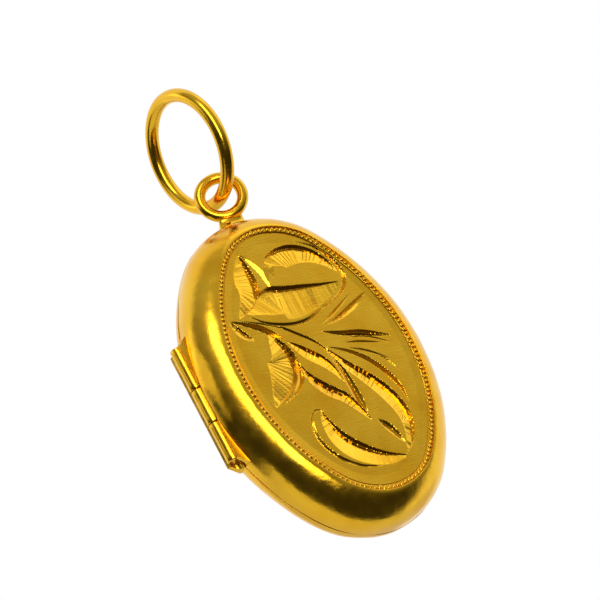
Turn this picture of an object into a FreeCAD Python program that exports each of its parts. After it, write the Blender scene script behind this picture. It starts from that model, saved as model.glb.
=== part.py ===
"""Oval hinged locket on its jump ring, in millimetres.

The origin is the centre of the jump ring. +Z runs up the long axis, +X is to the right of the
engraved front, and the front faces -Y. Every size below is a cell of the sheet "dims", and each
body is driven from it by expressions.
"""
import FreeCAD
import Part

import math
import os

import Sketcher

Vector = FreeCAD.Vector
Rotation = FreeCAD.Rotation

# The middle of the border wire is the reference oval: two end arcs and two side arcs, all tangent.
# Every other outline is an offset of it, so neighbouring walls keep an even distance.
HALF_LENGTH = 9.0
HALF_WIDTH = 6.01
END_RADIUS = 4.3
SIDE_CENTRE = ((HALF_LENGTH - END_RADIUS) ** 2 - (HALF_WIDTH - END_RADIUS) ** 2) / (
    2 * (HALF_WIDTH - END_RADIUS))
END_ANGLE = math.degrees(math.atan2(SIDE_CENTRE, HALF_LENGTH - END_RADIUS))

# Each rim is a straight wall that rolls over to its mouth: roll radius and depth of its centre.
RIM_OFFSET = 1.74
MOUTH_OFFSET = 0.18
PANEL_OFFSET = 0.38
SHELL = 0.3
FRONT_ROLL, FRONT_MIDDLE = 2.38, 0.054
BACK_ROLL, BACK_MIDDLE = RIM_OFFSET - MOUTH_OFFSET, 0.476
LIP_ROOT = 0.95


def on_roll(roll, inward, along):
    """Other leg of the right triangle from a roll's centre to its surface or its inside."""
    return math.sqrt((roll - inward) ** 2 - along ** 2)


FRONT_CENTRE = RIM_OFFSET - FRONT_ROLL

SIZES = {
    # reference oval
    "half_length": HALF_LENGTH,
    "half_width": HALF_WIDTH,
    "end_radius": END_RADIUS,
    "end_centre": HALF_LENGTH - END_RADIUS,
    "side_centre": SIDE_CENTRE,
    "end_sweep": 2 * END_ANGLE,
    "side_sweep": 2 * (90.0 - END_ANGLE),
    "axis_stub": 1.0,
    "plate_overlap": 1.0,
    # offsets outward from the reference oval
    "mouth_offset": MOUTH_OFFSET,
    "roll_setback": -FRONT_CENTRE,
    "rim_offset": RIM_OFFSET,
    "cavity_offset": RIM_OFFSET - SHELL,
    "panel_offset": PANEL_OFFSET,
    "field_setback": 0.25,
    "wire_half_chord": math.sqrt(0.15 ** 2 - 0.05 ** 2),
    "lip_outer": 1.34,
    "lip_inner": 1.06,
    "lip_root_offset": MOUTH_OFFSET + on_roll(BACK_ROLL, SHELL, LIP_ROOT - BACK_MIDDLE),
    "card_offset": 0.5,
    "frame_outer": 0.86,
    "frame_inner": 0.3,
    "frame_bevel": 0.15,
    # depths measured from the plane through the ring's centre
    "front_middle": FRONT_MIDDLE,
    "front_mouth": FRONT_MIDDLE + on_roll(FRONT_ROLL, 0, MOUTH_OFFSET - FRONT_CENTRE),
    "front_step": FRONT_MIDDLE + on_roll(FRONT_ROLL, SHELL, PANEL_OFFSET - FRONT_CENTRE),
    "back_middle": BACK_MIDDLE,
    "back_mouth": BACK_MIDDLE + BACK_ROLL,
    "back_step": BACK_MIDDLE + on_roll(BACK_ROLL, SHELL, PANEL_OFFSET - MOUTH_OFFSET),
    "seam": 0.429,
    "seam_gap": 0.02,
    "lip_root": LIP_ROOT,
    "lip_height": 0.17,
    "lip_cut_half": 5.2,
    "lip_cut_inner": 5.4,
    # hinge
    "hinge_reach": 7.49,
    "tube_radius": 0.42,
    "bore_radius": 0.235,
    "pin_radius": 0.215,
    "channel_radius": 0.5,
    "upper_low": 1.15,
    "upper_high": 3.94,
    "middle_low": 1.14,
    "middle_high": 1.09,
    "lower_low": 3.74,
    "lower_high": 1.2,
    "pin_proud": 0.03,
    "bearer_half": 4.3,
    "bearer_inner": 0.6,
    "bearer_depth": 0.75,
    "bearer_outer": 0.18,
    "facet_start": 3.8,
    "facet_angle": 39.8,
    "cut_side": 3.0,
    # thumb nick
    "nick_half": 1.2,
    "nick_depth": 0.12,
    "nick_height": 0.25,
    # ring, loop and neck, and the place of the case below them
    "case_shift": 0.14,
    "case_drop": 16.49,
    "ring_radius": 3.63,
    "ring_wire": 0.43,
    "ring_turn": 83.0,
    "loop_shift": 0.5,
    "loop_drop": 3.56,
    "loop_radius": 1.33,
    "loop_wire": 0.36,
    "loop_twist": 25.0,
    "post_shift": 0.4,
    "post_back": 0.4,
    "post_half_thick": 0.6,
    "post_foot": 1.05,
    "post_sink": 0.25,
    "post_shoulder": 0.9,
    "post_waist": 0.7,
    "post_flare": 0.5,
    "post_middle": 0.4,
    "post_slope": 0.1,
    "post_clear": 0.12,
}

# Faces of the stacked sheets of each half, as rises above the face of its panel.
PANEL_FACES = {"front": 2.05, "back": 1.8}
STACK = {
    "wire_crown": 0.2,
    "wire_axis": 0.05,
    "field": 0.04,
    "face": 0.0,
    "inside": -0.35,
    "card": -0.5,
    "cover": -0.65,
    "frame": -0.83,
}
for side, face in PANEL_FACES.items():
    for word, rise in STACK.items():
        SIZES[side + "_" + word] = face + rise

doc = FreeCAD.newDocument("locket")
sheet = doc.addObject("Spreadsheet::Sheet", "dims")
for row, (name, size) in enumerate(SIZES.items(), start=1):
    sheet.set("A%d" % row, name)
    sheet.set("B%d" % row, repr(size))
    sheet.setAlias("B%d" % row, name)
doc.recompute()

bodies = []


def value(formula):
    """Add up the signed size names of a formula such as "rim_offset - seam"."""
    total, sign = 0.0, 1.0
    for word in formula.split():
        if word == "+":
            sign = 1.0
        elif word == "-":
            sign = -1.0
        else:
            total += sign * SIZES[word]
            sign = 1.0
    return total


def bind(formula):
    """Turn the same formula into an expression on the sheet."""
    return " ".join(word if word in ("+", "-") else "dims." + word for word in formula.split())


def new_body(name, x="case_shift", y="", z="- case_drop"):
    """Start a body whose origin stands at the given formulas."""
    body = doc.addObject("PartDesign::Body", name)
    body.Label = name
    for axis, formula in (("x", x), ("y", y), ("z", z)):
        if formula:
            body.setExpression("Placement.Base." + axis, bind(formula))
    bodies.append(body)
    return body


def plane_of(body, role):
    """Find one of the body's own origin planes."""
    return [feature for feature in body.Origin.OriginFeatures if feature.Role == role][0]


def new_sketch(body, name, role):
    sketch = body.newObject("Sketcher::SketchObject", name)
    sketch.AttachmentSupport = [(plane_of(body, role), "")]
    sketch.MapMode = "FlatFace"
    return sketch


def pin_point(sketch, geometry, end, x, y):
    """Drive one end of a sketch element from the sheet."""
    for kind, formula in (("DistanceX", x), ("DistanceY", y)):
        if formula:
            index = sketch.addConstraint(
                Sketcher.Constraint(kind, -1, 1, geometry, end, value(formula)))
            sketch.setExpression("Constraints[%d]" % index, bind(formula))
        else:
            sketch.addConstraint(Sketcher.Constraint(kind, -1, 1, geometry, end, 0.0))


def draw_outline(sketch, corners, centre_axis=None):
    """Draw a closed outline. A corner is (x, y, arc), and arc is the formula pair of the centre
    of the arc that leaves this corner, or None for a straight edge."""
    spots = [Vector(value(x), value(y), 0) for x, y, arc in corners]
    count = len(corners)
    starts, ends = [], []
    for index, (x, y, arc) in enumerate(corners):
        here, there = spots[index], spots[(index + 1) % count]
        if arc is None:
            geometry = sketch.addGeometry(Part.LineSegment(here, there), False)
            starts.append((geometry, 1))
            ends.append((geometry, 2))
            continue
        centre = Vector(value(arc[0]), value(arc[1]), 0)
        first = math.atan2(here.y - centre.y, here.x - centre.x)
        last = math.atan2(there.y - centre.y, there.x - centre.x)
        forward = (last - first) % (2 * math.pi) < math.pi
        if not forward:
            first, last = last, first
        circle = Part.Circle(centre, Vector(0, 0, 1), (here - centre).Length)
        geometry = sketch.addGeometry(
            Part.ArcOfCircle(circle, first, first + (last - first) % (2 * math.pi)), False)
        starts.append((geometry, 1 if forward else 2))
        ends.append((geometry, 2 if forward else 1))
        driven = arc[0] if centre_axis == "x" else arc[1]
        kind = "DistanceX" if centre_axis == "x" else "DistanceY"
        index = sketch.addConstraint(
            Sketcher.Constraint(kind, -1, 1, geometry, 3, value(driven)))
        sketch.setExpression("Constraints[%d]" % index, bind(driven))
    for index in range(count):
        following = (index + 1) % count
        sketch.addConstraint(Sketcher.Constraint("Coincident", *ends[index], *starts[following]))
    for index, (x, y, arc) in enumerate(corners):
        pin_point(sketch, starts[index][0], starts[index][1], x, y)


def beyond(base, offset):
    """Join a base formula and an offset formula, which may start with a minus sign."""
    if not offset:
        return base
    return base + " " + offset if offset.startswith("-") else base + " + " + offset


def revolve(body, name, role, corners, along_x, axis_at):
    """Revolve an outline half each way about an axis parallel to Y."""
    sketch = new_sketch(body, name + "_sketch", role)
    draw_outline(sketch, corners, "x" if along_x else "y")
    middle = value(axis_at)
    stub = SIZES["axis_stub"]
    tips = [(middle, -stub), (middle, stub)] if along_x else [(-stub, middle), (stub, middle)]
    axis = sketch.addGeometry(
        Part.LineSegment(Vector(*tips[0], 0), Vector(*tips[1], 0)), True)
    for end, side in ((1, "- axis_stub"), (2, "axis_stub")):
        if along_x:
            pin_point(sketch, axis, end, axis_at, side)
        else:
            pin_point(sketch, axis, end, side, axis_at)
    doc.recompute()
    solid = body.newObject("PartDesign::Revolution", name)
    solid.Profile = (sketch, [""])
    solid.ReferenceAxis = (sketch, ["Axis0"])
    solid.Midplane = True
    sketch.Visibility = False
    return solid


def oval(name, profile):
    """Carry a profile round the oval. A corner is (offset, depth, arc centre or None); an offset
    of None stands for the middle of the oval, which makes a plate in place of a ring."""
    body = new_body(name)

    def placed(base, middle, swap):
        corners = []
        for offset, depth, arc in profile:
            reach = middle if offset is None else beyond(base, offset)
            centre = None if arc is None else (beyond(base, arc[0]), arc[1])
            if swap:
                corners.append((depth, reach, centre and (centre[1], centre[0])))
            else:
                corners.append((reach, depth, centre))
        return corners

    end = revolve(body, name + "_end", "YZ_Plane",
                  placed("half_length", "end_centre", True), False, "end_centre")
    end.setExpression("Angle", bind("end_sweep"))
    side = revolve(body, name + "_side", "XY_Plane",
                   placed("half_width", "- plate_overlap", False), True, "- side_centre")
    side.setExpression("Angle", bind("side_sweep"))
    for original, role, word in ((end, "XY_Plane", "_low"), (side, "YZ_Plane", "_left")):
        mirrored = body.newObject("PartDesign::Mirrored", name + word)
        mirrored.Originals = [original]
        mirrored.MirrorPlane = (plane_of(body, role), [""])
        body.Tip = mirrored
    doc.recompute()
    return body


def primitive(body, kind, name, sizes, place=("", "", ""), turn=None):
    """Add a PartDesign primitive with its sizes and its position bound to the sheet."""
    feature = body.newObject("PartDesign::" + kind, name)
    for key, formula in sizes.items():
        feature.setExpression(key, formula)
    feature.Placement = FreeCAD.Placement(Vector(*[value(part) for part in place]),
                                          turn or Rotation())
    for axis, formula in zip("xyz", place):
        if formula:
            feature.setExpression("Placement.Base." + axis, bind(formula))
    body.Tip = feature
    return feature


def deep(side, *words):
    """Formula of a depth on the front or the back, from words that carry the side's name."""
    sign = "- " if side == "front" else ""
    return " ".join(sign + side + "_" + word for word in words)


def plate(side, edge, outer_face, inner_face):
    faces = deep(side, outer_face), deep(side, inner_face)
    return [(None, faces[0], None), (edge, faces[0], None),
            (edge, faces[1], None), (None, faces[1], None)]


def half_shell(side):
    """Rim, panel, border wire and photo fittings of one half."""
    centre = ("- roll_setback" if side == "front" else "mouth_offset", deep(side, "middle"))
    edge = "seam - seam_gap" if side == "front" else "seam + seam_gap"
    rim = oval(side + "_rim", [
        ("mouth_offset", deep(side, "mouth"), centre),
        ("rim_offset", deep(side, "middle"), None),
        ("rim_offset", edge, None),
        ("cavity_offset", edge, None),
        ("cavity_offset", deep(side, "middle"), centre),
        ("panel_offset", deep(side, "step"), None),
        ("panel_offset", deep(side, "face"), None),
        ("mouth_offset", deep(side, "face"), None),
    ])
    oval(side + "_panel", [
        (None, deep(side, "field"), None),
        ("- field_setback", deep(side, "field"), None),
        ("- field_setback", deep(side, "face"), None),
        ("panel_offset", deep(side, "face"), None),
        ("panel_offset", deep(side, "inside"), None),
        (None, deep(side, "inside"), None),
    ])
    wire_centre = ("", deep(side, "wire_axis"))
    oval(side + "_border_wire", [
        ("- wire_half_chord", deep(side, "face"), wire_centre),
        ("", deep(side, "wire_crown"), wire_centre),
        ("wire_half_chord", deep(side, "face"), None),
    ])
    oval(side + "_photo_card", plate(side, "card_offset", "inside", "card"))
    oval(side + "_photo_cover", plate(side, "card_offset", "card", "cover"))
    oval(side + "_photo_frame", [
        ("frame_outer", deep(side, "cover"), None),
        ("frame_outer", deep(side, "frame"), None),
        ("frame_inner + frame_bevel", deep(side, "frame"), None),
        ("frame_inner", deep(side, "cover"), None),
    ])
    return rim


def cut_hinge_seat(body, side):
    """Open the rim wall where the hinge bearer is let in."""
    low = "seam - bearer_depth" if side == "front" else "seam"
    primitive(body, "SubtractiveBox", body.Label + "_seat",
              {"Length": "dims.cut_side", "Width": "dims.bearer_depth",
               "Height": "2 * dims.bearer_half"},
              ("- hinge_reach + bearer_inner - cut_side", low, "- bearer_half"))


def hinge_bearer(side):
    """Block let into a rim, with a round channel for the knuckles and bevelled ends."""
    body = new_body(side + "_hinge_bearer", "case_shift - hinge_reach", "seam")
    sign = "" if side == "back" else "- "
    sketch = new_sketch(body, side + "_bearer_sketch", "XY_Plane")
    draw_outline(sketch, [
        ("bearer_inner", sign + "seam_gap", None),
        ("bearer_inner", sign + "bearer_depth", None),
        ("- bearer_outer", sign + "bearer_depth", None),
        ("", sign + "seam_gap", None),
    ])
    doc.recompute()
    pad = body.newObject("PartDesign::Pad", side + "_bearer_pad")
    pad.Profile = (sketch, [""])
    pad.Midplane = True
    pad.setExpression("Length", "2 * dims.bearer_half")
    sketch.Visibility = False
    primitive(body, "SubtractiveCylinder", side + "_channel",
              {"Radius": "dims.tube_radius", "Height": "2 * dims.bearer_half"},
              ("", "", "- bearer_half"))
    if side == "back":
        spans = [("middle", "- lower_high", "dims.upper_low + dims.lower_high")]
    else:
        spans = [("upper", "middle_high", "dims.bearer_half - dims.middle_high"),
                 ("lower", "- bearer_half", "dims.bearer_half - dims.middle_low")]
    for word, start, length in spans:
        primitive(body, "SubtractiveCylinder", side + "_channel_" + word,
                  {"Radius": "dims.channel_radius", "Height": length}, ("", "", start))
    for word, angle, start in (("top", -SIZES["facet_angle"], "facet_start"),
                               ("bottom", SIZES["facet_angle"] + 90.0, "- facet_start")):
        turn = Rotation(Vector(0, 1, 0), angle)
        primitive(body, "SubtractiveBox", side + "_facet_" + word,
                  {"Length": "dims.cut_side", "Width": "2 * dims.bearer_depth + dims.axis_stub",
                   "Height": "dims.cut_side"},
                  ("- bearer_outer", "- bearer_depth - seam_gap", start), turn)
    doc.recompute()
    return body


def knuckle(name, low, length):
    """One hinge tube, bored for the pin."""
    body = new_body(name, "case_shift - hinge_reach", "seam", "- case_drop " + low)
    primitive(body, "AdditiveCylinder", name + "_tube",
              {"Radius": "dims.tube_radius", "Height": length})
    primitive(body, "SubtractiveCylinder", name + "_bore",
              {"Radius": "dims.bore_radius", "Height": length})
    return body


# Two halves of the case.
rims = {}
for side in ("front", "back"):
    rims[side] = half_shell(side)
    cut_hinge_seat(rims[side], side)
    hinge_bearer(side)
primitive(rims["front"], "SubtractiveBox", "thumb_nick",
          {"Length": "dims.cut_side", "Width": "dims.nick_height",
           "Height": "2 * dims.nick_half"},
          ("half_width + rim_offset - nick_depth", "seam - seam_gap - nick_height",
           "- nick_half"))

# Lip that holds the halves shut, fixed inside the back rim and left out along the hinge.
lip = oval("snap_lip", [
    ("cavity_offset", "seam + seam_gap", None),
    ("cavity_offset", "back_middle", ("mouth_offset", "back_middle")),
    ("lip_root_offset", "lip_root", None),
    ("lip_inner", "lip_root", None),
    ("lip_inner", "- lip_height", None),
    ("lip_outer", "- lip_height", None),
    ("lip_outer", "seam + seam_gap", None),
])
primitive(lip, "SubtractiveBox", "lip_break",
          {"Length": "dims.cut_side", "Width": "dims.cut_side",
           "Height": "2 * dims.lip_cut_half"},
          ("- lip_cut_inner - cut_side", "seam - lip_root - lip_root", "- lip_cut_half"))

# Hinge.
knuckle("upper_knuckle", "+ upper_low", "dims.upper_high - dims.upper_low")
knuckle("middle_knuckle", "- middle_low", "dims.middle_high + dims.middle_low")
knuckle("lower_knuckle", "- lower_low", "dims.lower_low - dims.lower_high")
pin = new_body("hinge_pin", "case_shift - hinge_reach", "seam",
               "- case_drop - lower_low - pin_proud")
primitive(pin, "AdditiveCylinder", "pin_rod",
          {"Radius": "dims.pin_radius",
           "Height": "dims.upper_high + dims.lower_low + 2 * dims.pin_proud"})

# Hanging loop on its waisted neck, and the jump ring through it.
LOOP_TURN = Rotation(Vector(0, 0, 1), -SIZES["loop_twist"]).multiply(
    Rotation(Vector(1, 0, 0), 90))
loop = new_body("hanging_loop", "loop_shift", "", "- loop_drop")
primitive(loop, "AdditiveTorus", "loop_wire",
          {"Radius1": "dims.loop_radius", "Radius2": "dims.loop_wire"}, turn=LOOP_TURN)
post = new_body("loop_post", "post_shift", "post_back")
post_sketch = new_sketch(post, "post_outline", "XZ_Plane")
low, high = "half_length + rim_offset", "half_length + rim_offset + post_middle + post_middle"
bend = "half_length + rim_offset + post_middle"
draw_outline(post_sketch, [
    ("- post_foot", low + " - post_sink", None),
    ("post_foot", low + " - post_sink", None),
    ("post_shoulder", low, ("post_waist + post_flare", bend)),
    ("post_shoulder", high, None),
    ("- post_shoulder", high, ("- post_waist - post_flare", bend)),
    ("- post_shoulder", low, None),
], "x")
doc.recompute()
post_pad = post.newObject("PartDesign::Pad", "post_plate")
post_pad.Profile = (post_sketch, [""])
post_pad.Midplane = True
post_pad.setExpression("Length", "2 * dims.post_half_thick")
post_sketch.Visibility = False
primitive(post, "SubtractiveBox", "post_back_slope",
          {"Length": "2 * dims.cut_side", "Width": "dims.cut_side", "Height": "dims.cut_side"},
          ("- cut_side", "post_half_thick", low + " + post_slope"),
          Rotation(Vector(1, 0, 0), 45))
primitive(post, "SubtractiveTorus", "post_saddle",
          {"Radius1": "dims.loop_radius", "Radius2": "dims.loop_wire"},
          ("loop_shift - post_shift", "- post_back", "case_drop - loop_drop"), LOOP_TURN)
for word, radius, start in (
        ("post_foot_cut", "dims.end_radius + dims.rim_offset", "cut_side"),
        ("post_front_gap", "dims.end_radius + dims.rim_offset + dims.post_clear",
         "seam + seam_gap - post_back")):
    primitive(post, "SubtractiveCylinder", word,
              {"Radius": radius, "Height": "2 * dims.cut_side"},
              ("case_shift - post_shift", start, "end_centre"), Rotation(Vector(1, 0, 0), 90))
ring = new_body("jump_ring", "", "", "")
primitive(ring, "AdditiveTorus", "ring_wire_round",
          {"Radius1": "dims.ring_radius", "Radius2": "dims.ring_wire"},
          turn=Rotation(Vector(0, 1, 0), SIZES["ring_turn"]))

doc.recompute()
os.makedirs("parts", exist_ok=True)
for item in doc.Objects:
    if "Invalid" in item.State or "Error" in item.State:
        raise RuntimeError(item.Name + " did not compute")
for body in bodies:
    shape = body.Shape
    if shape.isNull() or not shape.isValid() or len(shape.Solids) != 1:
        raise RuntimeError("%s: %d solids, valid %s" % (
            body.Label, len(shape.Solids), shape.isValid()))
    shape.exportStep("parts/%s.step" % body.Label)
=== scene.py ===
"""Looks of the oval hinged locket: smooth swept rims, beaded borders, an engraved front, the
hinge, the loop and the jump ring, in metres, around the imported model."""
import math
import random

import bpy
import bmesh
import numpy as np
from mathutils import Matrix, Vector


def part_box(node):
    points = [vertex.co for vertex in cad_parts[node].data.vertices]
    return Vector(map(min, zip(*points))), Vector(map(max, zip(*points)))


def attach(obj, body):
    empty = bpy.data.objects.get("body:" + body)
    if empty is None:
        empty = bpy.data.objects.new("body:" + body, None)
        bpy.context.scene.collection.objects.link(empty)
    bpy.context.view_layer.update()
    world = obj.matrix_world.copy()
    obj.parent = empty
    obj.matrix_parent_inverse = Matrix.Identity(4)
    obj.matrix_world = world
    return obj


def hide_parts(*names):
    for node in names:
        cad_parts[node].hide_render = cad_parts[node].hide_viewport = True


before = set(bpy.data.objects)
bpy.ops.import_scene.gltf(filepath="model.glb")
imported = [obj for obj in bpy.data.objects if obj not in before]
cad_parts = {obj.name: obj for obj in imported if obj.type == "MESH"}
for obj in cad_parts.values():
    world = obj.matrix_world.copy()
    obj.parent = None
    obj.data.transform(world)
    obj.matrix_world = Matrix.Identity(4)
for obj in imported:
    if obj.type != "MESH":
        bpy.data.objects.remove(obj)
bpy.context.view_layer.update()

MM = 0.001
FRONT, BACK = -1, 1                      # the way that each half faces along Y
HALVES = (("front", FRONT), ("back", BACK))
SHARP = 35.0                             # folds above this angle in degrees stay crisp

# ---- sizes in millimetres, worked out from the frame ------------------------------------------

def span(node):
    """Lowest and highest corner of a CAD node in millimetres."""
    return [[value / MM for value in corner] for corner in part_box(node)]


RIM_LOW, RIM_HIGH = span("front_rim")
WIRE_LOW, WIRE_HIGH = span("front_border_wire")
WIRE_HALF_CHORD = math.sqrt(0.15 ** 2 - 0.05 ** 2)
SHELL = 0.3                              # thickness of a rim's metal
# Offsets outward from the reference oval, which is the middle of the border.
RIM_OFFSET = 1.74
CAVITY = RIM_OFFSET - SHELL
LIP_OUTER, LIP_INNER = 1.34, 1.06
STEP = 0.38                              # seat of a panel inside its rim
FRAME_INNER = 0.3
MOUTH = 0.18
FIELD = -0.25                            # edge of a panel's raised face
CASE_X = (WIRE_LOW[0] + WIRE_HIGH[0]) / 2
CASE_Z = (RIM_LOW[2] + RIM_HIGH[2]) / 2
HALF_LENGTH = (RIM_HIGH[2] - RIM_LOW[2]) / 2 - RIM_OFFSET
HALF_WIDTH = (WIRE_HIGH[0] - WIRE_LOW[0]) / 2 - WIRE_HALF_CHORD
END_RADIUS = 4.3
END_CENTRE = HALF_LENGTH - END_RADIUS
SIDE_CENTRE = (END_CENTRE ** 2 - (HALF_WIDTH - END_RADIUS) ** 2) / (2 * (HALF_WIDTH - END_RADIUS))
SIDE_RADIUS = HALF_WIDTH + SIDE_CENTRE
END_ANGLE = math.atan2(SIDE_CENTRE, END_CENTRE)
SIDE_ANGLE = math.pi / 2 - END_ANGLE

FRONT_EDGE = RIM_HIGH[1]
BACK_EDGE = span("back_rim")[0][1]
# Roll of each rim: its radius, the depth of its centre and the depth of the panel's step.
FRONT_ROLL, FRONT_MIDDLE, FRONT_STEP = 2.38, 0.054, 2.05
BACK_ROLL, BACK_MIDDLE, BACK_STEP = 1.56, 0.476, 1.8
PANEL_RAISE = 0.04
KNUCKLE_BORE = 0.235
RING_WIRE, RING_LEAN = 0.43, math.radians(7.0)
LOOP_WIRE, LOOP_TWIST = 0.36, math.radians(25.0)
LOOP_LOW, LOOP_HIGH = span("hanging_loop")
LOOP_CENTRE = [(a + b) / 2 for a, b in zip(LOOP_LOW, LOOP_HIGH)]
LOOP_RADIUS = (LOOP_HIGH[2] - LOOP_LOW[2]) / 2 - LOOP_WIRE


def edge_offset(node):
    """How far outside the reference oval the edge of a node stands."""
    low, high = span(node)
    return (high[0] - low[0]) / 2 - HALF_WIDTH


def faces_of(node, side):
    """Depths of a flat node's outer face and inner face."""
    low, high = span(node)
    return (high[1], low[1]) if side == BACK else (low[1], high[1])


def oval_frame(count):
    """Evenly spaced places round the reference oval, clockwise from the top: arc centres (x, z),
    arc radii and outward directions (x, z)."""
    end_run = END_RADIUS * END_ANGLE
    side_run = 2 * SIDE_RADIUS * SIDE_ANGLE
    runs = [end_run, side_run, 2 * end_run, side_run, end_run]
    angles = np.cumsum([0, END_ANGLE, 2 * SIDE_ANGLE, 2 * END_ANGLE, 2 * SIDE_ANGLE, END_ANGLE])
    along = np.cumsum([0.0] + runs)
    where = np.arange(count) / count * along[-1]
    turn = np.interp(where, along, angles)
    arc = np.clip(np.searchsorted(along, where, side="right") - 1, 0, 4)
    centres = np.array([(0, END_CENTRE), (-SIDE_CENTRE, 0), (0, -END_CENTRE), (SIDE_CENTRE, 0),
                        (0, END_CENTRE)])[arc]
    radii = np.array([END_RADIUS, SIDE_RADIUS, END_RADIUS, SIDE_RADIUS, END_RADIUS])[arc]
    outward = np.stack([np.sin(turn), np.cos(turn)], axis=1)
    return centres, radii, outward


# ---- mesh helpers -----------------------------------------------------------------------------

def finish_mesh(name, vertices, faces, sharp=SHARP):
    """Make an object from millimetre points, shaded smooth except at sharp folds."""
    mesh = bpy.data.meshes.new(name)
    mesh.from_pydata((np.asarray(vertices) * MM).tolist(), [], faces)
    mesh.validate()
    work = bmesh.new()
    work.from_mesh(mesh)
    bmesh.ops.recalc_face_normals(work, faces=work.faces)
    work.to_mesh(mesh)
    work.free()
    mesh.shade_smooth()
    mesh.set_sharp_from_angle(angle=math.radians(sharp))
    piece = bpy.data.objects.new(name, mesh)
    bpy.context.scene.collection.objects.link(piece)
    return piece


def grid_faces(rows, columns, wrap_rows, wrap_columns):
    """Quads over a grid of points stored row by row."""
    faces = []
    for row in range(rows if wrap_rows else rows - 1):
        after = (row + 1) % rows
        for column in range(columns if wrap_columns else columns - 1):
            beside = (column + 1) % columns
            faces.append((row * columns + column, after * columns + column,
                          after * columns + beside, row * columns + beside))
    return faces


def capped_rings(rings, around):
    """Faces over a stack of rings, closed at both ends."""
    last = (rings - 1) * around
    return (grid_faces(rings, around, False, True)
            + [tuple(range(around)), tuple(range(last + around - 1, last - 1, -1))])


def add_pebble(points, faces, spot, long_way, short_way, third_way, rings, around):
    """Add a small ellipsoid whose three half axes are vectors."""
    first = len(points)
    for ring in range(rings):
        tilt = math.pi * (ring + 0.5) / rings
        for step in range(around):
            angle = 2 * math.pi * step / around
            points.append(tuple(spot + long_way * math.cos(tilt)
                                + short_way * math.sin(tilt) * math.cos(angle)
                                + third_way * math.sin(tilt) * math.sin(angle)))
    faces += [tuple(first + corner for corner in face) for face in capped_rings(rings, around)]


def rounded(corners, step=0.05):
    """Round the corners of a closed outline. A corner is (x, y, radius)."""
    count = len(corners)
    outline = []
    for index, (x, y, radius) in enumerate(corners):
        here = Vector((x, y))
        before = Vector(corners[index - 1][:2]) - here
        after = Vector(corners[(index + 1) % count][:2]) - here
        if radius <= 0:
            outline.append((x, y))
            continue
        before.normalize()
        after.normalize()
        half = before.angle(after) / 2
        centre = here + (before + after).normalized() * radius / math.sin(half)
        first = here + before * radius / math.tan(half) - centre
        sweep = math.pi - 2 * half
        turn = -1 if first.x * before.y - first.y * before.x > 0 else 1
        pieces = max(3, int(sweep * radius / step))
        for index_step in range(pieces + 1):
            angle = turn * sweep * index_step / pieces
            outline.append((centre.x + first.x * math.cos(angle) - first.y * math.sin(angle),
                            centre.y + first.x * math.sin(angle) + first.y * math.cos(angle)))
    return outline


def subdivided(outline, longest):
    """Split the long edges of a closed outline, so that small dents can show on them."""
    points = []
    for index, (x, y) in enumerate(outline):
        nx, ny = outline[(index + 1) % len(outline)]
        pieces = max(1, math.ceil(math.hypot(nx - x, ny - y) / longest))
        for part in range(pieces):
            points.append((x + (nx - x) * part / pieces, y + (ny - y) * part / pieces))
    return points


def unevenness(points, size, seed):
    """Smooth hand-made unevenness: a sum of a few slow waves through space."""
    chance = random.Random(seed)
    total = np.zeros(len(points))
    for _ in range(10):
        direction = np.array([chance.gauss(0, 1) for _ in range(3)])
        direction /= np.linalg.norm(direction)
        length = chance.uniform(2.2, 6.5)
        total += np.sin(points @ direction * 2 * math.pi / length + chance.uniform(0, 6.28))
    return total * size / math.sqrt(10)


def sweep_oval(name, outline, count=600, dents=0.0, seed=1):
    """Carry a closed (offset, depth) outline round the oval."""
    centres, radii, outward = oval_frame(count)
    offsets = np.array([point[0] for point in outline])
    depths = np.array([point[1] for point in outline])
    reach = radii[:, None] + offsets[None, :]
    x = centres[:, 0, None] + outward[:, 0, None] * reach + CASE_X
    z = centres[:, 1, None] + outward[:, 1, None] * reach + CASE_Z
    y = np.broadcast_to(depths[None, :], x.shape)
    points = np.stack([x, y, z], axis=2).reshape(-1, 3)
    if dents:
        inward = dents * 2.4                 # keeps the highest waves inside the solid's outline
        shift = unevenness(points, dents, seed) - inward
        points = points + np.stack([np.repeat(outward[:, 0], len(outline)) * shift,
                                    np.zeros(len(points)),
                                    np.repeat(outward[:, 1], len(outline)) * shift], axis=1)
    return finish_mesh(name, points, grid_faces(count, len(outline), True, True))


def plate_oval(name, edge, outer_face, inner_face, bevel=0.04, count=360):
    """A flat oval plate with softened edges, its faces made of rings."""
    sign = 1 if inner_face > outer_face else -1
    shares = (0.97, 0.7, 0.4, 0.2)
    steps = [(-HALF_WIDTH * share, outer_face) for share in shares]
    steps += [(edge - 0.3, outer_face), (edge - bevel, outer_face),
              (edge - bevel * 0.3, outer_face + sign * bevel * 0.3),
              (edge, outer_face + sign * bevel), (edge, inner_face - sign * bevel),
              (edge - bevel, inner_face), (edge - 0.3, inner_face)]
    steps += [(-HALF_WIDTH * share, inner_face) for share in reversed(shares)]
    deepest_offset = -0.35                   # rings further in are scaled instead of offset
    centres, radii, outward = oval_frame(count)
    points = []
    for offset, depth in steps:
        if offset < deepest_offset:
            scale = 1 + offset / HALF_WIDTH
            ring = (centres + outward * radii[:, None]) * scale
        else:
            ring = centres + outward * (radii[:, None] + offset)
        points.append(np.stack([ring[:, 0] + CASE_X, np.full(count, depth),
                                ring[:, 1] + CASE_Z], axis=1))
    return finish_mesh(name, np.concatenate(points), capped_rings(len(steps), count))


def box_mesh(name, low, high):
    """A helper block for cutting, from its lowest and highest corners in millimetres."""
    corners = [(x, y, z) for x in (low[0], high[0]) for y in (low[1], high[1])
               for z in (low[2], high[2])]
    faces = [(0, 1, 3, 2), (4, 6, 7, 5), (0, 4, 5, 1), (2, 3, 7, 6), (0, 2, 6, 4), (1, 5, 7, 3)]
    return finish_mesh(name, corners, faces)


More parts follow.
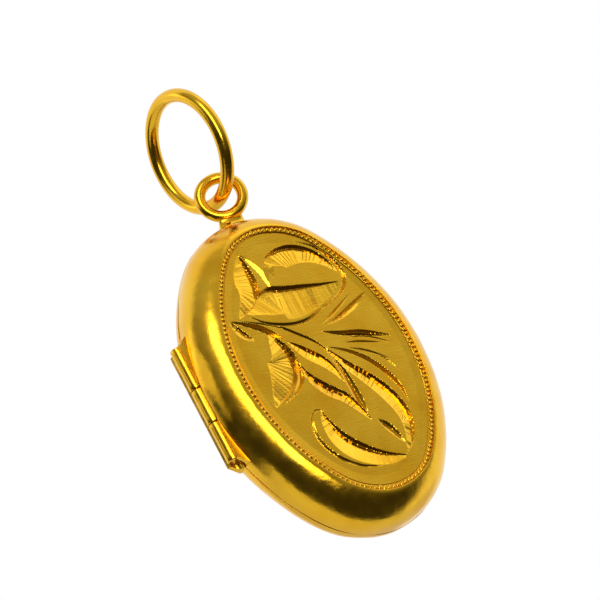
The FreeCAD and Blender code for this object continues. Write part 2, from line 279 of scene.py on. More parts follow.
def cut(piece, *cutters):
    """Subtract the cutters from the piece, then throw them away."""
    for cutter in cutters:
        boolean = piece.modifiers.new("cut", "BOOLEAN")
        boolean.operation = "DIFFERENCE"
        boolean.solver = "EXACT"
        boolean.object = cutter
    bpy.context.view_layer.update()
    shown = piece.evaluated_get(bpy.context.evaluated_depsgraph_get())
    mesh = bpy.data.meshes.new_from_object(shown)
    piece.modifiers.clear()
    piece.data = mesh
    mesh.shade_smooth()
    mesh.set_sharp_from_angle(angle=math.radians(SHARP))
    for cutter in cutters:
        bpy.data.objects.remove(cutter)


def settle(piece, body, slot, material, *nodes):
    """Give a piece its body and its material, and hide the nodes that it stands for; its slot is
    not used.
    """
    piece.data.materials.clear()
    piece.data.materials.append(material)
    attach(piece, body)
    if nodes:
        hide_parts(*nodes)


def lathe(name, outline, place, axis, count=64, closed=False):
    """Turn an (along, radius) outline about an axis through a place, in millimetres."""
    axis = Vector(axis).normalized()
    across = axis.orthogonal().normalized()
    third = axis.cross(across)
    points = []
    for along, radius in outline:
        for index in range(count):
            angle = 2 * math.pi * index / count
            spot = (Vector(place) + axis * along
                    + (across * math.cos(angle) + third * math.sin(angle)) * radius)
            points.append(tuple(spot))
    return finish_mesh(name, points, grid_faces(len(outline), count, closed, True))


def torus(name, centre, axis, ring, wire, turns=220, rounds=40, flats=0.0, seed=3):
    """A wire ring, its section very slightly uneven."""
    axis = Vector(axis).normalized()
    across = axis.orthogonal().normalized()
    third = axis.cross(across)
    points = []
    for turn in range(turns):
        angle = 2 * math.pi * turn / turns
        out = across * math.cos(angle) + third * math.sin(angle)
        for side in range(rounds):
            round_angle = 2 * math.pi * side / rounds
            points.append(tuple(Vector(centre) + out * (ring + wire * math.cos(round_angle))
                                + axis * wire * math.sin(round_angle)))
    points = np.array(points)
    if flats:
        inward = points - np.array(centre)
        length = np.linalg.norm(inward, axis=1)[:, None]
        shift = (unevenness(points, flats, seed) - flats * 1.5)[:, None]
        points = points + inward / length * shift
    return finish_mesh(name, points, grid_faces(turns, rounds, True, True))


# ---- materials --------------------------------------------------------------------------------

GOLD = (0.87, 0.51, 0.030)
GOLD_DEEP = (0.81, 0.42, 0.016)
# Dark brown painted into the bottoms of the deepest cuts as shade
GOLD_GROOVE_SHADE = (0.22, 0.09, 0.008)
CUT_GLOSS = 0.11


class Nodes:
    """A material and short ways to build its node tree, with object coordinates as its place."""

    def __init__(self, name):
        self.material = bpy.data.materials.new(name)
        self.material.use_nodes = True
        self.tree = self.material.node_tree
        self.shader = self.tree.nodes["Principled BSDF"]
        coordinates = self.tree.nodes.new("ShaderNodeTexCoord")
        self.place = coordinates.outputs["Object"]

    def add(self, kind, **settings):
        """New node, each setting going to its input or else to its property."""
        node = self.tree.nodes.new("ShaderNode" + kind)
        for key, setting in settings.items():
            if key in node.inputs:
                node.inputs[key].default_value = setting
            else:
                setattr(node, key, setting)
        return node

    def link(self, source, target):
        """Join an output socket to an input socket."""
        self.tree.links.new(source, target)

    def stretched(self, scale, rotation=(0, 0, 0)):
        """Object coordinates, turned and scaled differently along each axis."""
        mapping = self.add("Mapping")
        mapping.inputs["Scale"].default_value = scale
        mapping.inputs["Rotation"].default_value = rotation
        self.link(self.place, mapping.inputs["Vector"])
        return mapping.outputs["Vector"]

    def noise(self, scale, detail=3.0, vector=None, roughness=0.5):
        """Noise over the object."""
        node = self.add("TexNoise", Scale=scale, Detail=detail, Roughness=roughness)
        self.link(vector or self.place, node.inputs["Vector"])
        return node.outputs["Fac"]

    def ranged(self, source, low, high, from_low=0.3, from_high=0.7):
        """A value carried from one range to another."""
        node = self.add("MapRange")
        for key, setting in (("From Min", from_low), ("From Max", from_high),
                             ("To Min", low), ("To Max", high)):
            node.inputs[key].default_value = setting
        self.link(source, node.inputs["Value"])
        return node.outputs["Result"]

    def mixed(self, factor, first, second):
        """Mix of two colours, each a tuple or a socket."""
        node = self.add("Mix", data_type="RGBA")
        for socket, colour in ((6, first), (7, second)):
            if isinstance(colour, tuple):
                node.inputs[socket].default_value = (*colour, 1)
            else:
                self.link(colour, node.inputs[socket])
        self.link(factor, node.inputs[0])
        return node.outputs[2]

    def bump(self, height, strength, distance, below=None):
        """A bump, on top of another one where it is given."""
        node = self.add("Bump", Strength=strength, Distance=distance)
        self.link(height, node.inputs["Height"])
        if below:
            self.link(below, node.inputs["Normal"])
        return node.outputs["Normal"]


def gold(name, low=0.12, high=0.24, scratch=0.25, ripple=0.3, brushed=None, cut_bright=False):
    """Yellow gold: colour drifts a little, wear varies the gloss, and fine scratches and slow
    ripples break up the reflections. Bright cuts are glossier, and painted shade darkens their
    bottoms."""
    nodes = Nodes(name)
    shader = nodes.shader
    shader.inputs["Metallic"].default_value = 1.0
    drift = nodes.ranged(nodes.noise(450, 2), 0.0, 1.0)
    colour = nodes.mixed(drift, GOLD, GOLD_DEEP)
    worn = nodes.noise(1100, 4, roughness=0.6)
    gloss = nodes.ranged(worn, low, high)
    if cut_bright:
        depth = nodes.add("Attribute", attribute_name="cut_depth").outputs["Fac"]
        # Painted shade: the bottoms of the deepest cuts are mixed toward dark brown by their
        # depth, standing in for the shade in the grooves
        groove_shade = nodes.ranged(depth, 0.0, 0.45, from_low=0.22, from_high=0.32)
        colour = nodes.mixed(groove_shade, colour, GOLD_GROOVE_SHADE)
        inside = nodes.ranged(depth, 0.0, 1.0, from_low=0.0, from_high=0.008)
        facet = nodes.add("Mix", B=CUT_GLOSS)
        nodes.link(inside, facet.inputs["Factor"])
        nodes.link(gloss, facet.inputs["A"])
        gloss = facet.outputs["Result"]
    nodes.link(colour, shader.inputs["Base Color"])
    nodes.link(gloss, shader.inputs["Roughness"])
    slow = nodes.noise(700, 2)
    normal = nodes.bump(slow, ripple, 0.00004)
    scratches = nodes.noise(9000, 2, nodes.stretched((0.09, 1, 1), (0.3, 0.5, 0.9)))
    normal = nodes.bump(scratches, scratch, 0.000008, normal)
    if brushed:
        lines = nodes.noise(14000, 2, nodes.stretched(*brushed))
        normal = nodes.bump(lines, 0.6, 0.00001, normal)
    nodes.link(normal, shader.inputs["Normal"])
    return nodes.material


RIM_GOLD = gold("rim_gold", 0.15, 0.28, scratch=0.5, ripple=0.9)
RING_GOLD = gold("ring_gold", 0.14, 0.26, scratch=0.4, ripple=0.6)
HINGE_GOLD = gold("hinge_gold", 0.14, 0.28, scratch=0.4, ripple=0.5)
WIRE_GOLD = gold("wire_gold", 0.24, 0.34, scratch=0.1, ripple=0.2)
INNER_GOLD = gold("inner_gold", 0.10, 0.18, scratch=0.15, ripple=0.15)
PANEL_GOLD = gold("panel_gold", 0.22, 0.32, scratch=0.3, ripple=0.1,
                  brushed=((0.05, 1, 1), (0, math.radians(30), 0)), cut_bright=True)
PLAIN_GOLD = gold("plain_gold", 0.14, 0.24, scratch=0.3, ripple=0.2)


def clear_film():
    """Thin clear acetate with faint rubbing."""
    nodes = Nodes("clear_film")
    shader = nodes.shader
    shader.inputs["Base Color"].default_value = (0.93, 0.95, 0.95, 1)
    shader.inputs["Alpha"].default_value = 0.16
    shader.inputs["IOR"].default_value = 1.47
    nodes.link(nodes.ranged(nodes.noise(900, 3), 0.03, 0.12), shader.inputs["Roughness"])
    rubbing = nodes.noise(6000, 2, nodes.stretched((0.1, 1, 1), (0, 0.6, 0)))
    nodes.link(nodes.bump(rubbing, 0.1, 0.000005), shader.inputs["Normal"])
    return nodes.material


def photo_card():
    """Blank matt card with a paper grain."""
    nodes = Nodes("photo_card")
    shader = nodes.shader
    grain = nodes.noise(5000, 5, roughness=0.7)
    tone = nodes.ranged(nodes.noise(350, 3), 0.0, 1.0)
    nodes.link(nodes.mixed(tone, (0.83, 0.79, 0.70), (0.74, 0.69, 0.58)),
               shader.inputs["Base Color"])
    nodes.link(nodes.ranged(grain, 0.75, 0.95), shader.inputs["Roughness"])
    nodes.link(nodes.bump(grain, 0.4, 0.00003), shader.inputs["Normal"])
    return nodes.material


# ---- case -------------------------------------------------------------------------------------

def roll(radius, middle, side, start, stop, inward=0.0, steps=26):
    """Points on a rim's roll, or on its inside, between two offsets."""
    centre = RIM_OFFSET - radius
    reach = radius - inward
    angles = [math.acos((offset - centre) / reach) for offset in (start, stop)]
    return [(centre + reach * math.cos(angle), side * (middle + reach * math.sin(angle)), 0.0)
            for angle in np.linspace(angles[0], angles[1], steps)]


def rim(name, side, edge, radius, middle, step):
    """One swaged rim: softened mouth, rolled shoulder, straight wall and inside."""
    outside = roll(radius, middle, side, MOUTH + 0.05, RIM_OFFSET)
    mouth = outside[0][1] - side * 0.012
    outline = rounded([(MOUTH, side * step, 0.0), (MOUTH, mouth, 0.035)] + outside[1:]
                      + [(RIM_OFFSET, edge, 0.018), (CAVITY, edge, 0.018)]
                      + roll(radius, middle, side, CAVITY, STEP, SHELL)
                      + [(STEP, side * step, 0.0)])
    return sweep_oval(name, subdivided(outline, 0.2), 720, dents=0.016,
                      seed=5 if side == FRONT else 8)


def hinge_seat(node):
    """The block to cut out of a rim for its hinge bearer."""
    low, high = span(node)
    gap = 0.02
    return box_mesh("seat", (low[0] - 1, low[1] - gap, low[2]), (high[0], high[1] + gap, high[2]))


def case_rims():
    """Both rims, with seats for the hinge bearers and a thumb nick in the front one."""
    nick_half, nick_height, nick_depth = 1.2, 0.25, 0.12
    front = rim("front_rim_polished", FRONT, FRONT_EDGE, FRONT_ROLL, FRONT_MIDDLE, FRONT_STEP)
    right = RIM_HIGH[0]
    nick = box_mesh("nick", (right - nick_depth, FRONT_EDGE - nick_height, CASE_Z - nick_half),
                    (right + 1, FRONT_EDGE + 0.1, CASE_Z + nick_half))
    cut(front, hinge_seat("front_hinge_bearer"), nick)
    settle(front, "front_half", "rim_gold", RIM_GOLD, "front_rim")
    back = rim("back_rim_polished", BACK, BACK_EDGE, BACK_ROLL, BACK_MIDDLE, BACK_STEP)
    cut(back, hinge_seat("back_hinge_bearer"))
    settle(back, "back_half", "rim_gold", RIM_GOLD, "back_rim")


def beads(word, side):
    """Beaded border: small slanted, uneven beads pressed up from a low bed."""
    node = word + "_border_wire"
    crown, face = faces_of(node, side)
    rise = abs(crown - face)
    chance = random.Random(21 if side == FRONT else 22)
    bed_top = face + side * 0.45 * rise
    bed = rounded([(-0.2, face, 0), (-0.13, bed_top, 0.05), (0.13, bed_top, 0.05), (0.2, face, 0)])
    places, count = 480, 156
    points = []
    for centre, radius, out in zip(*oval_frame(places)):
        for offset, depth in bed:
            reach = radius + offset
            points.append((centre[0] + out[0] * reach + CASE_X, depth,
                           centre[1] + out[1] * reach + CASE_Z))
    faces = grid_faces(places, len(bed), True, True)
    for centre, radius, out in zip(*oval_frame(count)):
        slant = math.radians(chance.uniform(22, 52))
        reach = radius + chance.uniform(-0.03, 0.03)
        height = rise * 0.62 * chance.uniform(0.85, 1.0)
        spot = Vector((centre[0] + out[0] * reach + CASE_X, face + side * (rise * 0.97 - height),
                       centre[1] + out[1] * reach + CASE_Z))
        radial = Vector((out[0], 0, out[1]))
        along = Vector((out[1], 0, -out[0]))
        long_axis = radial * math.cos(slant) + along * math.sin(slant)
        short_axis = along * math.cos(slant) - radial * math.sin(slant)
        length = 0.18 * chance.uniform(0.8, 1.1)
        width = 0.12 * chance.uniform(0.8, 1.15)
        add_pebble(points, faces, spot, long_axis * length, short_axis * width,
                   Vector((0, side, 0)) * height, rings=7, around=12)
    piece = finish_mesh(word + "_border_beads", points, faces, sharp=60)
    settle(piece, word + "_half", "wire_gold", WIRE_GOLD, node)


def photo_fittings(word, side):
    """Card, clear cover and half-round frame of one half."""
    body = word + "_half"
    node = word + "_photo_card"
    edge = edge_offset(node) - 0.01
    outer_face, inner_face = faces_of(node, side)
    card = plate_oval(word + "_card", edge, outer_face, inner_face, 0.02)
    settle(card, body, "photo_card", CARD, node)
    node = word + "_photo_cover"
    outer_face, inner_face = faces_of(node, side)
    air = math.copysign(0.015, inner_face - outer_face)
    cover = plate_oval(word + "_cover", edge, outer_face + air, inner_face, 0.03)
    settle(cover, body, "clear_film", FILM, node)
    node = word + "_photo_frame"
    outer = edge_offset(node)
    seat, top = faces_of(node, side)
    ring = sweep_oval(word + "_frame", subdivided(rounded([
        (outer, seat, 0.02), (outer, top, 0.05), ((outer + FRAME_INNER) / 2, top, 0.12),
        (FRAME_INNER, seat + (top - seat) * 0.35, 0.05), (FRAME_INNER, seat, 0.02)]), 0.3), 480)
    settle(ring, body, "inner_gold", INNER_GOLD, node)


def snap_lip():
    """The spring lip of the back half, broken at the hinge."""
    low, high = span("snap_lip")
    root = roll(BACK_ROLL, BACK_MIDDLE, BACK, CAVITY, LIP_OUTER + 0.01, SHELL, 8)
    lip = sweep_oval("snap_lip_ring", subdivided(rounded([
        (LIP_INNER, high[1], 0.03), (LIP_INNER, low[1], 0.08), (LIP_OUTER, low[1], 0.08),
        (LIP_OUTER, BACK_EDGE, 0), (CAVITY - 0.001, BACK_EDGE, 0)] + root[1:]), 0.2), 600,
        dents=0.004, seed=12)
    break_half, break_edge, beyond = 5.2, CASE_X - 5.4, 10
    cut(lip, box_mesh("break", (-beyond, -3, CASE_Z - break_half),
                      (break_edge, 3, CASE_Z + break_half)))
    settle(lip, "back_half", "inner_gold", INNER_GOLD, "snap_lip")


# ---- engraved panel ---------------------------------------------------------------------------

# Each cut is a line of points (x, z) in millimetres from the middle of the case, the widths of
# its left and right facets seen along the line, its depth, its ripple and the place of its
# widest point along the line.
CUTS = (
    # upper leaf and its ridge
    (((-2.1, 7.9), (-1.95, 6.8), (-1.95, 5.8), (-2.2, 5.0), (-2.9, 4.3), (-4.2, 3.7)),
     0.12, 1.4, 0.22, 0.010, 0.40),
    (((-2.1, 7.8), (-1.65, 7.1), (-1.3, 6.2), (-1.2, 5.1)), 0.26, 0.12, 0.13, 0.0, 0.6),
    # scroll over the top
    (((-0.6, 5.8), (-0.75, 6.7), (-0.1, 7.35), (1.0, 7.6), (2.0, 7.45), (2.9, 6.9), (3.5, 6.1),
      (3.8, 5.2)), 0.1, 1.35, 0.20, 0.018, 0.38),
    (((1.9, 7.85), (3.1, 7.2), (3.9, 6.1), (4.15, 4.9), (3.6, 4.0), (2.5, 3.4), (1.0, 2.9)),
     0.08, 0.18, 0.10, 0.0, 0.5),
    (((-1.1, 5.6), (-0.95, 6.4), (-0.6, 6.9)), 0.08, 0.24, 0.08, 0.0, 0.5),
    # middle leaf
    (((-3.6, 3.9), (-2.6, 4.6), (-1.4, 5.15), (-0.3, 4.98), (0.9, 4.82), (2.1, 4.65),
      (3.6, 4.5)), 0.12, 2.2, 0.23, 0.012, 0.42),
    (((-3.6, 3.8), (-2.8, 3.1), (-1.7, 2.65), (-0.5, 2.5), (0.7, 2.75), (2.4, 3.6)),
     0.16, 0.1, 0.10, 0.0, 0.42),
    # stem with its gouge, running down to the vein of the large leaf
    (((-4.9, 3.7), (-3.8, 3.2), (-3.0, 2.7), (-2.15, 1.8)), 0.14, 0.3, 0.22, 0.0, 0.75),
    (((-4.6, 3.7), (-3.0, 3.05), (-2.0, 2.6), (-1.1, 1.9), (-0.2, 1.1), (0.4, 0.1),
      (0.7, -1.0)), 0.1, 0.12, 0.09, 0.0, 0.6),
    (((0.2, 0.5), (0.65, -0.9), (0.78, -2.4), (0.75, -4.1)), 0.15, 0.45, 0.15, 0.006, 0.75),
    # lower left leaf
    (((-2.9, 2.4), (-2.25, 1.3), (-2.1, 0.3), (-2.6, -0.7), (-3.5, -1.5), (-4.9, -2.3)),
     0.16, 1.9, 0.24, 0.016, 0.42),
    (((-4.95, 3.7), (-4.5, 2.9), (-4.0, 2.1)), 0.12, 0.42, 0.10, 0.02, 0.55),
    (((-1.95, 0.4), (-2.15, -0.8), (-2.9, -1.6), (-4.3, -2.25)), 0.1, 0.32, 0.12, 0.0, 0.3),
    # large lower right leaf: lower edge, upper hatching, outer edge
    (((-2.0, 0.0), (-1.6, -0.95), (-0.85, -1.85), (-0.05, -2.6), (0.4, -3.5), (0.75, -4.7)),
     0.1, 0.7, 0.16, 0.026, 0.45),
    (((-2.0, 1.6), (-1.1, 0.9), (-0.2, 0.0), (0.2, -0.9), (0.3, -1.9)), 0.06, 0.75, 0.12, 0.022,
     0.4),
    (((0.2, 0.6), (1.2, -0.7), (2.1, -1.7), (2.9, -2.9), (3.35, -4.3), (3.25, -5.5),
      (2.6, -6.6), (1.7, -7.35)), 0.08, 0.95, 0.18, 0.022, 0.50),
    (((0.3, 0.6), (1.6, 0.0), (2.75, -0.95), (3.45, -2.1), (3.8, -3.2), (3.75, -4.2)),
     0.14, 0.24, 0.20, 0.0, 0.65),
    (((1.1, -4.7), (1.7, -5.4), (2.1, -6.6)), 0.15, 0.4, 0.12, 0.01, 0.4),
    # slender leaf and rays
    (((0.5, 1.65), (1.9, 1.25), (3.3, 0.95), (5.1, 0.2)), 0.1, 0.34, 0.16, 0.01, 0.55),
    (((1.6, 0.55), (2.8, 0.35), (4.2, -0.1)), 0.06, 0.1, 0.06, 0.0, 0.5),
    (((1.7, 0.2), (3.0, -0.4), (4.2, -1.3)), 0.06, 0.1, 0.06, 0.0, 0.5),
    (((2.2, 0.1), (3.5, -0.8), (4.4, -2.2)), 0.06, 0.08, 0.05, 0.0, 0.5),
    (((2.0, 0.8), (3.4, 0.55), (4.9, -0.3)), 0.05, 0.08, 0.05, 0.0, 0.5),
    (((1.2, 1.95), (2.6, 2.4), (4.9, 3.4)), 0.14, 0.3, 0.14, 0.01, 0.6),
    (((0.7, 2.0), (2.2, 2.7), (3.9, 3.6)), 0.08, 0.12, 0.07, 0.0, 0.5),
    # scroll at the foot
    (((-2.2, -3.2), (-1.95, -4.1), (-1.45, -5.1), (-0.65, -6.0), (0.5, -6.85), (1.8, -7.4)),
     0.08, 1.25, 0.20, 0.018, 0.45),
    (((-1.9, -3.3), (-2.6, -3.15), (-3.1, -3.7), (-3.3, -4.6), (-3.05, -5.6), (-2.4, -6.5),
      (-1.4, -7.2), (0.0, -7.6)), 0.14, 0.14, 0.10, 0.0, 0.4),
)


SINK = 1.3                               # how deep the cuts go for each unit of depth above
MARKS = 80                               # most tool marks along one cut


def smooth_line(points, count=120):
    """Catmull-Rom curve through the points."""
    ends = [2 * np.array(points[0]) - np.array(points[1]),
            2 * np.array(points[-1]) - np.array(points[-2])]
    knots = np.array([ends[0], *points, ends[1]])
    spans = len(points) - 1
    line = []
    for where in np.linspace(0, spans, count):
        index = min(int(where), spans - 1)
        t = where - index
        a, b, c, d = knots[index:index + 4]
        line.append(0.5 * (2 * b + (c - a) * t + (2 * a - 5 * b + 4 * c - d) * t ** 2
                           + (3 * b - a - 3 * c + d) * t ** 3))
    return np.array(line)


def engraving(x, z):
    """Depth below the panel's face at each point, from all the cuts."""
    depth = np.zeros(len(x))
    chance = random.Random(7)
    for points, left, right, deep, ripple, peak in CUTS:
        line = smooth_line(points)
        step = np.linalg.norm(np.diff(line, axis=0), axis=1)
        along = np.concatenate([[0], np.cumsum(step)])
        reach = max(left, right)
        near = np.nonzero((x > line[:, 0].min() - reach) & (x < line[:, 0].max() + reach)
                          & (z > line[:, 1].min() - reach) & (z < line[:, 1].max() + reach))[0]
        gap = np.hypot(x[near, None] - line[None, :, 0], z[near, None] - line[None, :, 1])
        nearest = gap.argmin(axis=1)
        inner = np.clip(nearest, 1, len(line) - 2)
        way = line[inner + 1] - line[inner - 1]
        way /= np.linalg.norm(way, axis=1)[:, None]
        offset = np.stack([x[near], z[near]], axis=1) - line[nearest]
        side = way[:, 0] * offset[:, 1] - way[:, 1] * offset[:, 0]
        run = along[nearest] + (offset * way).sum(axis=1) * (nearest == inner)
        share = np.clip(run / along[-1], 0, 1)
        taper = np.where(share < peak, np.sin(share / peak * math.pi / 2),
                         np.sin((1 - share) / (1 - peak) * math.pi / 2)) ** 0.8
        width = np.maximum(np.where(side > 0, left, right) * taper, 1e-4)
        fall = np.clip(1 - np.abs(side) / width, 0, 1)
        ends = (nearest > 0) & (nearest < len(line) - 1)
        pitch = chance.uniform(0.26, 0.34)
        tilts = np.array([chance.uniform(-1, 1) for _ in range(MARKS)])
        cell = np.clip(run / pitch, 0, MARKS - 1)
        waves = tilts[cell.astype(int)] * (cell % 1 - 0.5) * 2
        facet = SINK * deep * taper * fall + ripple * waves * np.minimum(1, fall * 4)
        here = np.where(ends & (fall > 0), np.maximum(facet, 0), 0)
        depth[near] = np.maximum(depth[near], here)
    return depth


def engraved_panel():
    """The front panel: a grid of rings over its raised face, cut by the engraver's strokes, and
    a plain step, edge and underside."""
    face, inside = faces_of("front_panel", FRONT)
    step_face = face + PANEL_RAISE
    columns, rings = 880, 210
    centres, radii, outward = oval_frame(columns)
    rim_line = centres + outward * (radii[:, None] + FIELD)
    shares = np.linspace(0.004, 1.0, rings)
    x = (shares[:, None] * rim_line[None, :, 0]).ravel()
    z = (shares[:, None] * rim_line[None, :, 1]).ravel()
    cuts = engraving(x, z)
    tool_depth, tool_pitch, swell = 0.0035, 0.17, 0.006
    tool = tool_depth * np.sin((x * 0.55 + z) * 2 * math.pi / tool_pitch
                               + np.sin(x * 1.7) + np.sin(z * 0.9))
    wave = swell * np.sin(x * 0.7 + 0.4) * np.sin(z * 0.45 + 1.0)
    level = np.clip(14 * (1 - np.repeat(shares, columns)), 0, 1)
    depth = face + cuts + (np.abs(tool) * (cuts == 0) + wave + 0.02) * level
    points = [np.stack([x + CASE_X, depth, z + CASE_Z], axis=1)]
    edge, bevel = edge_offset("front_panel"), 0.03
    border = ((FIELD, step_face), (edge - bevel, step_face), (edge, step_face + bevel),
              (edge, inside - bevel), (edge - bevel, inside), (-0.6, inside))
    for offset, height in border:
        ring = centres + outward * (radii[:, None] + offset)
        points.append(np.stack([ring[:, 0] + CASE_X, np.full(columns, height),
                                ring[:, 1] + CASE_Z], axis=1))
    piece = finish_mesh("front_panel_engraved", np.concatenate(points),
                        capped_rings(rings + len(border), columns), sharp=14)
    mark = piece.data.attributes.new("cut_depth", "FLOAT", "POINT")
    mark.data.foreach_set("value", np.concatenate([cuts, np.zeros(len(border) * columns)]))
    settle(piece, "front_half", "panel_gold", PANEL_GOLD, "front_panel")


def plain_panel():
    """The back panel, plain but for its slightly raised face."""
    face, inside = faces_of("back_panel", BACK)
    edge = edge_offset("back_panel") - 0.005
    step_face = face - PANEL_RAISE
    under = -0.4
    plate = plate_oval("back_panel_plain", FIELD, face, face - 0.2)
    flange = sweep_oval("back_panel_flange", rounded([
        (under, step_face, 0), (edge, step_face, 0.02), (edge, inside, 0.02),
        (under, inside, 0)]), 360)
    base = plate_oval("back_panel_base", -0.35, face - 0.1, inside)
    settle(plate, "back_half", "panel_gold", PLAIN_GOLD, "back_panel")
    for piece in (flange, base):
        settle(piece, "back_half", "panel_gold", PLAIN_GOLD)


# ---- hinge, loop and ring ---------------------------------------------------------------------

def standing_rod(node):
    """Foot, radius and length of a node that is round about a vertical axis."""
    low, high = span(node)
    foot = ((low[0] + high[0]) / 2, (low[1] + high[1]) / 2, low[2])
    return foot, (high[0] - low[0]) / 2, high[2] - low[2]


def knuckles():
    """The three hinge tubes and the pin through them."""
    for word, body in (("upper", "back_half"), ("middle", "front_half"), ("lower", "back_half")):
        foot, radius, length = standing_rod(word + "_knuckle")
        outline = rounded([(0, KNUCKLE_BORE, 0.02), (0, radius, 0.05), (length, radius, 0.05),
                           (length, KNUCKLE_BORE, 0.02)], 0.02)
        tube = lathe(word + "_knuckle_tube", subdivided(outline, 0.3), foot, (0, 0, 1), 56,
                     closed=True)
        settle(tube, body, "hinge_gold", HINGE_GOLD, word + "_knuckle")
    foot, radius, length = standing_rod("hinge_pin")
    end = [(0, 0.001), (0.005, radius * 0.6), (0.03, radius * 0.93), (0.08, radius)]
    outline = end + [(length - along, reach) for along, reach in reversed(end)]
    rod = lathe("hinge_pin_rod", outline, foot, (0, 0, 1), 40)
    settle(rod, "back_half", "hinge_gold", HINGE_GOLD, "hinge_pin")


def bearers():
    """Blocks let into the rims, kept as solids with softened edges."""
    for word in ("front", "back"):
        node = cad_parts[word + "_hinge_bearer"]
        node.data.materials.clear()
        node.data.materials.append(HINGE_GOLD)
        bevel = node.modifiers.new("soft_edges", "BEVEL")
        bevel.width = 0.03 * MM
        bevel.segments = 2
        bevel.limit_method = "ANGLE"
        bevel.angle_limit = math.radians(SHARP)


def solder_lumps():
    """Small uneven lumps of solder where the bearers meet the rims, at both ends."""
    chance = random.Random(31)
    # Place of the first lump from the bearer's outer side, its seam face and its end, and the
    # way from each lump to the next.
    corner = (0.74, 0.34, 0.16)
    spacing = (-0.08, 0.08, 0.2)
    for word, side in HALVES:
        low, high = span(word + "_hinge_bearer")
        seam_face = high[1] if side == FRONT else low[1]
        points, faces = [], []
        for end, inward in ((low[2], 1), (high[2], -1)):
            for index in range(3):
                across, deep, along = [a + b * index for a, b in zip(corner, spacing)]
                spot = Vector((low[0] + across, seam_face + side * deep, end + inward * along))
                width, depth, height = [chance.uniform(0.13, 0.2) for _ in range(3)]
                add_pebble(points, faces, spot, Vector((0, 0, height)), Vector((width, 0, 0)),
                           Vector((0, depth, 0)), rings=9, around=14)
        piece = finish_mesh(word + "_bearer_solder", points, faces, sharp=60)
        settle(piece, word + "_half", "hinge_gold", HINGE_GOLD)


def ring_and_loop():
    """The jump ring and the hanging loop that is linked through it."""
    low, high = span("jump_ring")
    ring = torus("jump_ring_wire", (0, 0, 0), (math.cos(RING_LEAN), 0, math.sin(RING_LEAN)),
                 (high[1] - low[1]) / 2 - RING_WIRE, RING_WIRE, 260, 44, flats=0.008)
    settle(ring, "ring", "ring_gold", RING_GOLD, "jump_ring")
    loop = torus("hanging_loop_wire", LOOP_CENTRE,
                 (-math.sin(LOOP_TWIST), -math.cos(LOOP_TWIST), 0), LOOP_RADIUS, LOOP_WIRE,
                 160, 40, flats=0.008, seed=4)
    settle(loop, "back_half", "ring_gold", RING_GOLD, "hanging_loop")


def neck():
    """Soldered neck: a flared foot on the back rim, clear of the front one, that narrows and
    spreads again along the underside of the loop."""
    low, high = span("loop_post")
    foot = ((low[0] + high[0]) / 2, 0.36)
    foot_half, foot_depth = 1.0, 0.53
    top_half, top_depth = 0.98, 0.22
    waist = 0.17
    sunk, raised = -0.06, 0.13               # the foot sits in the back rim and over the front one
    sine, cosine = math.sin(LOOP_TWIST), math.cos(LOOP_TWIST)
    turns, levels = 72, 22
    bottom, top = [], []
    for turn in range(turns):
        angle = 2 * math.pi * turn / turns
        across, deep = math.cos(angle), math.sin(angle)
        x, y = foot[0] + foot_half * across, foot[1] + foot_depth * deep
        rim_reach = END_RADIUS + RIM_OFFSET + (raised if y < BACK_EDGE else sunk)
        bottom.append((x, y, CASE_Z + END_CENTRE + math.sqrt(rim_reach ** 2 - (x - CASE_X) ** 2)))
        wide, thick = top_half * across, top_depth * deep
        top.append((LOOP_CENTRE[0] + wide * cosine + thick * sine,
                    LOOP_CENTRE[1] - wide * sine + thick * cosine,
                    LOOP_CENTRE[2] - math.sqrt(LOOP_RADIUS ** 2 - wide ** 2)))
    bottom, top = np.array(bottom), np.array(top)
    points = []
    for t in np.linspace(0, 1, levels):
        blend = t * t * (3 - 2 * t)
        ring = bottom * (1 - t) + top * t
        core = bottom.mean(axis=0) * (1 - blend) + top.mean(axis=0) * blend
        narrow = 1 - waist * math.sin(math.pi * t) ** 1.6
        ring[:, :2] = core[:2] + (ring[:, :2] - core[:2]) * narrow
        points.append(ring)
    piece = finish_mesh("loop_neck", np.concatenate(points), capped_rings(levels, turns), sharp=60)
    settle(piece, "back_half", "ring_gold", RING_GOLD, "loop_post")


CARD = photo_card()
FILM = clear_film()
case_rims()
for half_word, half_side in HALVES:
    beads(half_word, half_side)
engraved_panel()
plain_panel()
for half_word, half_side in HALVES:
    photo_fittings(half_word, half_side)
snap_lip()
knuckles()
bearers()
solder_lumps()
ring_and_loop()
neck()

# ---- camera, light and floor ------------------------------------------------------------------

LOOK_AZIMUTH, LOOK_ELEVATION, LOOK_ROLL = (math.radians(a) for a in (-36.7, -20.2, -28.8))
CAMERA_PLACE = Vector((-83.57, -114.79, -64.28)) * MM
FOCAL_LENGTH, SENSOR_WIDTH = 151.15, 36.0


def camera_axes():
    """Right, up and back of the camera from its azimuth, elevation and roll."""
    ca, sa = math.cos(LOOK_AZIMUTH), math.sin(LOOK_AZIMUTH)
    ce, se = math.cos(LOOK_ELEVATION), math.sin(LOOK_ELEVATION)
    back = Vector((sa * ce, -ca * ce, se))
    level = Vector((ca, sa, 0))
    over = back.cross(level)
    right = level * math.cos(LOOK_ROLL) + over * math.sin(LOOK_ROLL)
    return right, back.cross(right), back


def add_camera():
    """The camera of the picture."""
    data = bpy.data.cameras.new("camera")
    data.lens = FOCAL_LENGTH
    data.sensor_width = SENSOR_WIDTH
    data.clip_start = 0.01
    data.clip_end = 20.0
    camera = bpy.data.objects.new("camera", data)
    right, up, back = camera_axes()
    turn = Matrix((right, up, back)).transposed().to_4x4()
    camera.matrix_world = Matrix.Translation(CAMERA_PLACE) @ turn
    bpy.context.scene.collection.objects.link(camera)
    bpy.context.scene.camera = camera


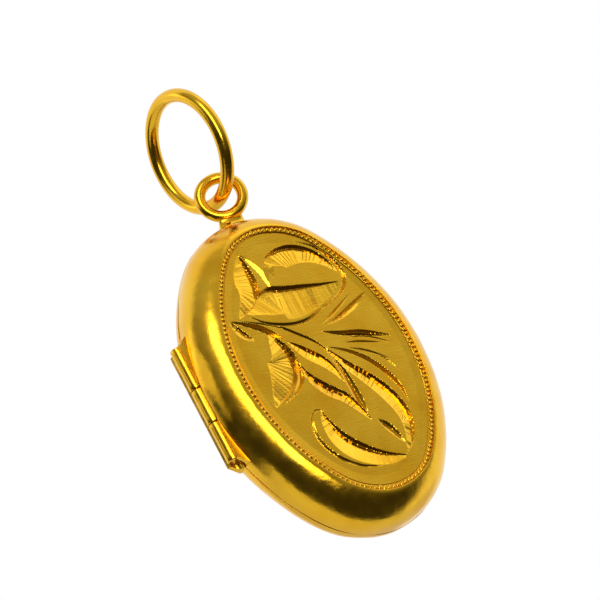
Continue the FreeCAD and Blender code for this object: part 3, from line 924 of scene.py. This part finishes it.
def add_light(name, direction, distance, size, power, lean=0.0):
    """A soft light box that faces the case from a direction given on the camera's axes, its top
    leaning to the left by an angle in degrees."""
    right, up, back = camera_axes()
    target = Vector((0, 0, CASE_Z * MM))
    way = (right * direction[0] + up * direction[1] + back * direction[2]).normalized()
    data = bpy.data.lights.new(name, "AREA")
    data.shape = "RECTANGLE"
    data.size, data.size_y = size
    data.energy = power
    light = bpy.data.objects.new(name, data)
    light.location = target + way * distance
    sideways = back.cross(way).normalized()
    turn = Matrix((sideways, way.cross(sideways), way)).transposed()
    light.rotation_euler = (turn @ Matrix.Rotation(math.radians(lean), 3, "Z")).to_euler()
    bpy.context.scene.collection.objects.link(light)


def add_world():
    """White ground behind and below the piece, and a dim room in front of it that grows lighter
    toward the ceiling."""
    up, back = camera_axes()[1:]
    world = bpy.data.worlds.new("world")
    world.use_nodes = True
    tree = world.node_tree
    background = tree.nodes["Background"]
    coordinates = tree.nodes.new("ShaderNodeTexCoord")

    def along(axis, low, high, to_low, to_high):
        """Brightness that changes smoothly along an axis of the room."""
        dot = tree.nodes.new("ShaderNodeVectorMath")
        dot.operation = "DOT_PRODUCT"
        dot.inputs[1].default_value = axis
        tree.links.new(coordinates.outputs["Generated"], dot.inputs[0])
        ranged = tree.nodes.new("ShaderNodeMapRange")
        ranged.interpolation_type = "SMOOTHSTEP"
        for key, setting in (("From Min", low), ("From Max", high),
                             ("To Min", to_low), ("To Max", to_high)):
            ranged.inputs[key].default_value = setting
        tree.links.new(dot.outputs["Value"], ranged.inputs["Value"])
        return ranged.outputs["Result"]

    room = along(up, -0.1, 1.0, 0.035, 0.50)
    ground = along(back, -0.22, 0.08, 1.0, 0.0)
    brightest = tree.nodes.new("ShaderNodeMath")
    brightest.operation = "MAXIMUM"
    tree.links.new(room, brightest.inputs[0])
    tree.links.new(ground, brightest.inputs[1])
    tree.links.new(brightest.outputs[0], background.inputs["Color"])
    background.inputs["Strength"].default_value = 1.0
    bpy.context.scene.world = world


def add_floor():
    """A plain pale floor below and behind the piece."""
    mesh = bpy.data.meshes.new("floor")
    reach, front, level = 0.4, 0.03, -0.16
    mesh.from_pydata([(-reach, front, level), (reach, front, level), (reach, 2 * reach, level),
                      (-reach, 2 * reach, level)], [], [(0, 1, 2, 3)])
    floor = bpy.data.objects.new("floor", mesh)
    nodes = Nodes("floor_pale")
    nodes.shader.inputs["Base Color"].default_value = (0.86, 0.86, 0.86, 1)
    nodes.shader.inputs["Roughness"].default_value = 0.9
    mesh.materials.append(nodes.material)
    bpy.context.scene.collection.objects.link(floor)


bpy.context.scene.view_settings.view_transform = "Standard"
add_camera()
add_world()
add_floor()
add_light("key", (-0.12, 0.52, 0.83), 0.35, (0.13, 0.46), 0.75, lean=29)
add_light("side", (-0.95, 0.1, 0.1), 0.4, (0.16, 0.3), 0.12)
add_light("top", (0.40, 0.90, -0.16), 0.4, (0.40, 0.20), 0.11)
